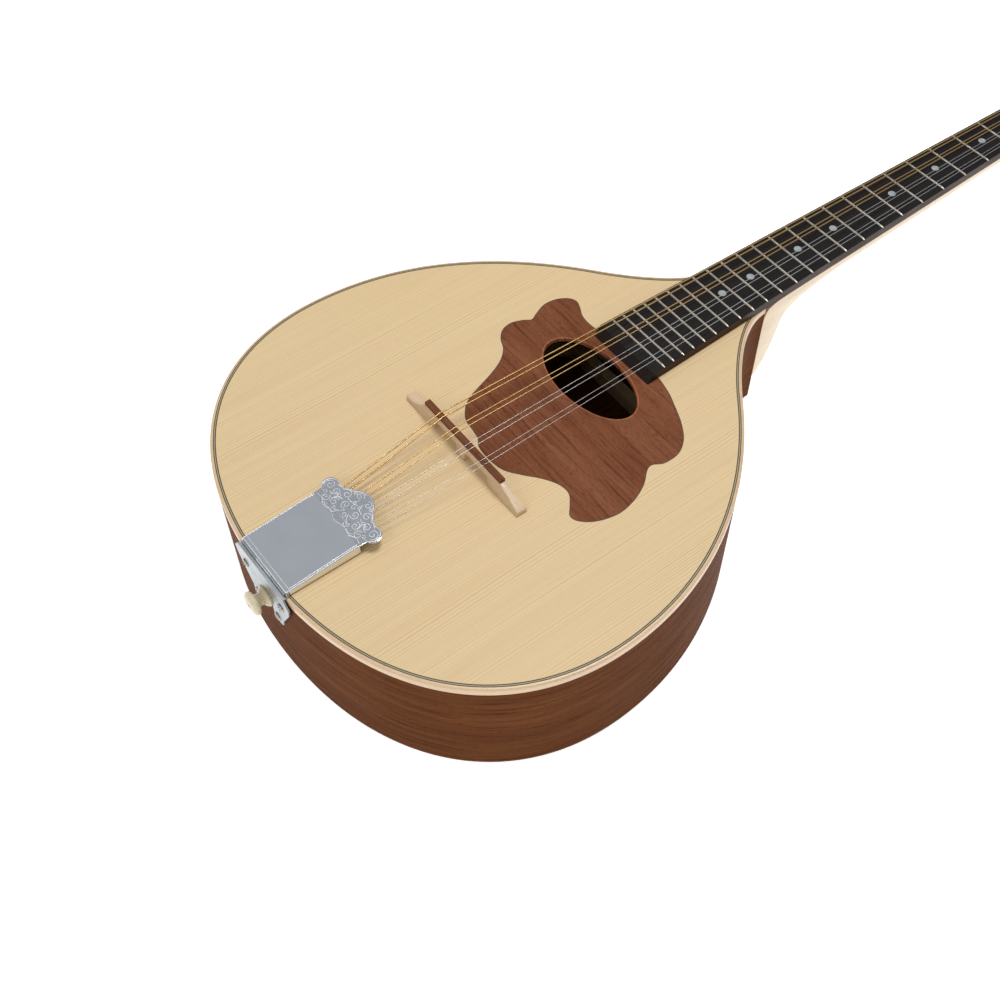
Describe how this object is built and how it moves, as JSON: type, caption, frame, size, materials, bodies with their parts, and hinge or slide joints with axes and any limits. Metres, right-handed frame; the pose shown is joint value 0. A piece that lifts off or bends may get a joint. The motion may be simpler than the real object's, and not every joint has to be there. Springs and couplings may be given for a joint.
{
  "type": "bouzouki",
  "caption": "Flat-top bouzouki with a teardrop body, paired metal strings, floating bridge, hinged metal tailpiece cover and geared tuners.",
  "frame": {"origin": "on the back's flat face, on the centreline, under the bridge line", "axes": "+Z out of the top, +Y along the neck to the headstock, +X the treble side; the instrument lies on its back"},
  "size_m": [0.3726, 0.9749, 0.1186],
  "materials": {
    "spruce": "satin",
    "walnut_plate": "satin",
    "black_wood": "satin",
    "white_wood": "satin",
    "maple_binding": "satin",
    "walnut_side": "satin",
    "walnut_back": "satin",
    "spruce_inner": "raw",
    "block_wood": "raw",
    "maple_bridge": "satin",
    "walnut_saddle": "satin",
    "nickel_plate": "polished",
    "nickel_cover": "polished",
    "steel_pin": "plain",
    "cream_plastic": "gloss",
    "maple_neck": "satin",
    "dark_veneer": "satin",
    "black_board": "satin",
    "fret_wire": "polished",
    "pearl": "gloss",
    "bone": "satin",
    "steel_rod": "plain",
    "brass_nut": "plain",
    "black_plastic": "gloss",
    "nickel_tuner": "polished",
    "screw_steel": "polished",
    "wound_bronze": "wound",
    "plain_steel": "polished",
    "brass_post": "polished"
  },
  "bodies": {
    "instrument": {"soundboard": "spruce", "rosette_plate": "walnut_plate", "purfling_black": "black_wood", "purfling_white": "white_wood", "binding": "maple_binding", "side_bass": "walnut_side", "side_treble": "walnut_side", "back_plate": "walnut_back", "back_strip": "spruce_inner", "end_blocks": "block_wood", "linings": "block_wood", "top_braces": "spruce_inner", "back_braces": "spruce_inner", "bridge_base": "maple_bridge", "bridge_saddle": "walnut_saddle", "tailpiece_base": "nickel_plate", "tailpiece_hinge_pin": "steel_pin", "end_pin": "cream_plastic", "neck": "maple_neck", "headstock_face": "dark_veneer", "fingerboard": "black_board", "frets": "fret_wire", "position_dots": "pearl", "nut": "bone", "truss_rod": "steel_rod", "truss_rod_cover": "black_plastic", "tuner_plates": "nickel_tuner", "post_bushings": "nickel_tuner", "wood_screws": "screw_steel", "strings_low_bass": "wound_bronze", "strings_high_bass": "wound_bronze", "strings_low_treble": "plain_steel", "strings_high_treble": "plain_steel"},
    "cover": {"tailpiece_cover": "nickel_cover"},
    "truss_nut": {"truss_rod_nut": "brass_nut"},
    "tuner_1": {"tuner_knob_1": "cream_plastic", "tuner_worm_1": "steel_pin"},
    "post_1": {"tuner_post_1": "brass_post"},
    "tuner_2": {"tuner_knob_2": "cream_plastic", "tuner_worm_2": "steel_pin"},
    "post_2": {"tuner_post_2": "brass_post"},
    "tuner_3": {"tuner_knob_3": "cream_plastic", "tuner_worm_3": "steel_pin"},
    "post_3": {"tuner_post_3": "brass_post"},
    "tuner_4": {"tuner_knob_4": "cream_plastic", "tuner_worm_4": "steel_pin"},
    "post_4": {"tuner_post_4": "brass_post"},
    "tuner_5": {"tuner_knob_5": "cream_plastic", "tuner_worm_5": "steel_pin"},
    "post_5": {"tuner_post_5": "brass_post"},
    "tuner_6": {"tuner_knob_6": "cream_plastic", "tuner_worm_6": "steel_pin"},
    "post_6": {"tuner_post_6": "brass_post"},
    "tuner_7": {"tuner_knob_7": "cream_plastic", "tuner_worm_7": "steel_pin"},
    "post_7": {"tuner_post_7": "brass_post"},
    "tuner_8": {"tuner_knob_8": "cream_plastic", "tuner_worm_8": "steel_pin"},
    "post_8": {"tuner_post_8": "brass_post"}
  },
  "joints": [
    {"name": "tailpiece_cover_hinge", "type": "hinge", "parent": "instrument", "child": "cover", "pos_m": [0, -0.1607, 0.1046], "axis": [1, 0, 0], "range_deg": [0, 95]},
    {"name": "truss_rod_nut_turn", "type": "hinge", "parent": "instrument", "child": "truss_nut", "pos_m": [0, 0.6274, 0.094], "axis": [0, 1, 0], "range_deg": [-180, 180]},
    {"name": "tuner_1_turn", "type": "hinge", "parent": "instrument", "child": "tuner_1", "pos_m": [-0.022, 0.65548, 0.07469], "axis": [1, 0, 0], "continuous": true},
    {"name": "post_1_turn", "type": "hinge", "parent": "instrument", "child": "post_1", "pos_m": [-0.022, 0.66804, 0.09185], "axis": [0, 0.2079, 0.9781], "continuous": true},
    {"name": "tuner_2_turn", "type": "hinge", "parent": "instrument", "child": "tuner_2", "pos_m": [-0.022, 0.68482, 0.06845], "axis": [1, 0, 0], "continuous": true},
    {"name": "post_2_turn", "type": "hinge", "parent": "instrument", "child": "post_2", "pos_m": [-0.022, 0.69738, 0.08561], "axis": [0, 0.2079, 0.9781], "continuous": true},
    {"name": "tuner_3_turn", "type": "hinge", "parent": "instrument", "child": "tuner_3", "pos_m": [-0.022, 0.71416, 0.06221], "axis": [1, 0, 0], "continuous": true},
    {"name": "post_3_turn", "type": "hinge", "parent": "instrument", "child": "post_3", "pos_m": [-0.022, 0.72673, 0.07938], "axis": [0, 0.2079, 0.9781], "continuous": true},
    {"name": "tuner_4_turn", "type": "hinge", "parent": "instrument", "child": "tuner_4", "pos_m": [-0.022, 0.74351, 0.05598], "axis": [1, 0, 0], "continuous": true},
    {"name": "post_4_turn", "type": "hinge", "parent": "instrument", "child": "post_4", "pos_m": [-0.022, 0.75607, 0.07314], "axis": [0, 0.2079, 0.9781], "continuous": true},
    {"name": "tuner_5_turn", "type": "hinge", "parent": "instrument", "child": "tuner_5", "pos_m": [0.022, 0.74351, 0.05598], "axis": [1, 0, 0], "continuous": true},
    {"name": "post_5_turn", "type": "hinge", "parent": "instrument", "child": "post_5", "pos_m": [0.022, 0.75607, 0.07314], "axis": [0, 0.2079, 0.9781], "continuous": true},
    {"name": "tuner_6_turn", "type": "hinge", "parent": "instrument", "child": "tuner_6", "pos_m": [0.022, 0.71416, 0.06221], "axis": [1, 0, 0], "continuous": true},
    {"name": "post_6_turn", "type": "hinge", "parent": "instrument", "child": "post_6", "pos_m": [0.022, 0.72673, 0.07938], "axis": [0, 0.2079, 0.9781], "continuous": true},
    {"name": "tuner_7_turn", "type": "hinge", "parent": "instrument", "child": "tuner_7", "pos_m": [0.022, 0.68482, 0.06845], "axis": [1, 0, 0], "continuous": true},
    {"name": "post_7_turn", "type": "hinge", "parent": "instrument", "child": "post_7", "pos_m": [0.022, 0.69738, 0.08561], "axis": [0, 0.2079, 0.9781], "continuous": true},
    {"name": "tuner_8_turn", "type": "hinge", "parent": "instrument", "child": "tuner_8", "pos_m": [0.022, 0.65548, 0.07469], "axis": [1, 0, 0], "continuous": true},
    {"name": "post_8_turn", "type": "hinge", "parent": "instrument", "child": "post_8", "pos_m": [0.022, 0.66804, 0.09185], "axis": [0, 0.2079, 0.9781], "continuous": true}
  ],
  "couplings": [
    {"joint": "post_1_turn", "follows": "tuner_1_turn", "ratio": -0.071429},
    {"joint": "post_2_turn", "follows": "tuner_2_turn", "ratio": -0.071429},
    {"joint": "post_3_turn", "follows": "tuner_3_turn", "ratio": -0.071429},
    {"joint": "post_4_turn", "follows": "tuner_4_turn", "ratio": -0.071429},
    {"joint": "post_5_turn", "follows": "tuner_5_turn", "ratio": -0.071429},
    {"joint": "post_6_turn", "follows": "tuner_6_turn", "ratio": -0.071429},
    {"joint": "post_7_turn", "follows": "tuner_7_turn", "ratio": -0.071429},
    {"joint": "post_8_turn", "follows": "tuner_8_turn", "ratio": -0.071429}
  ]
}
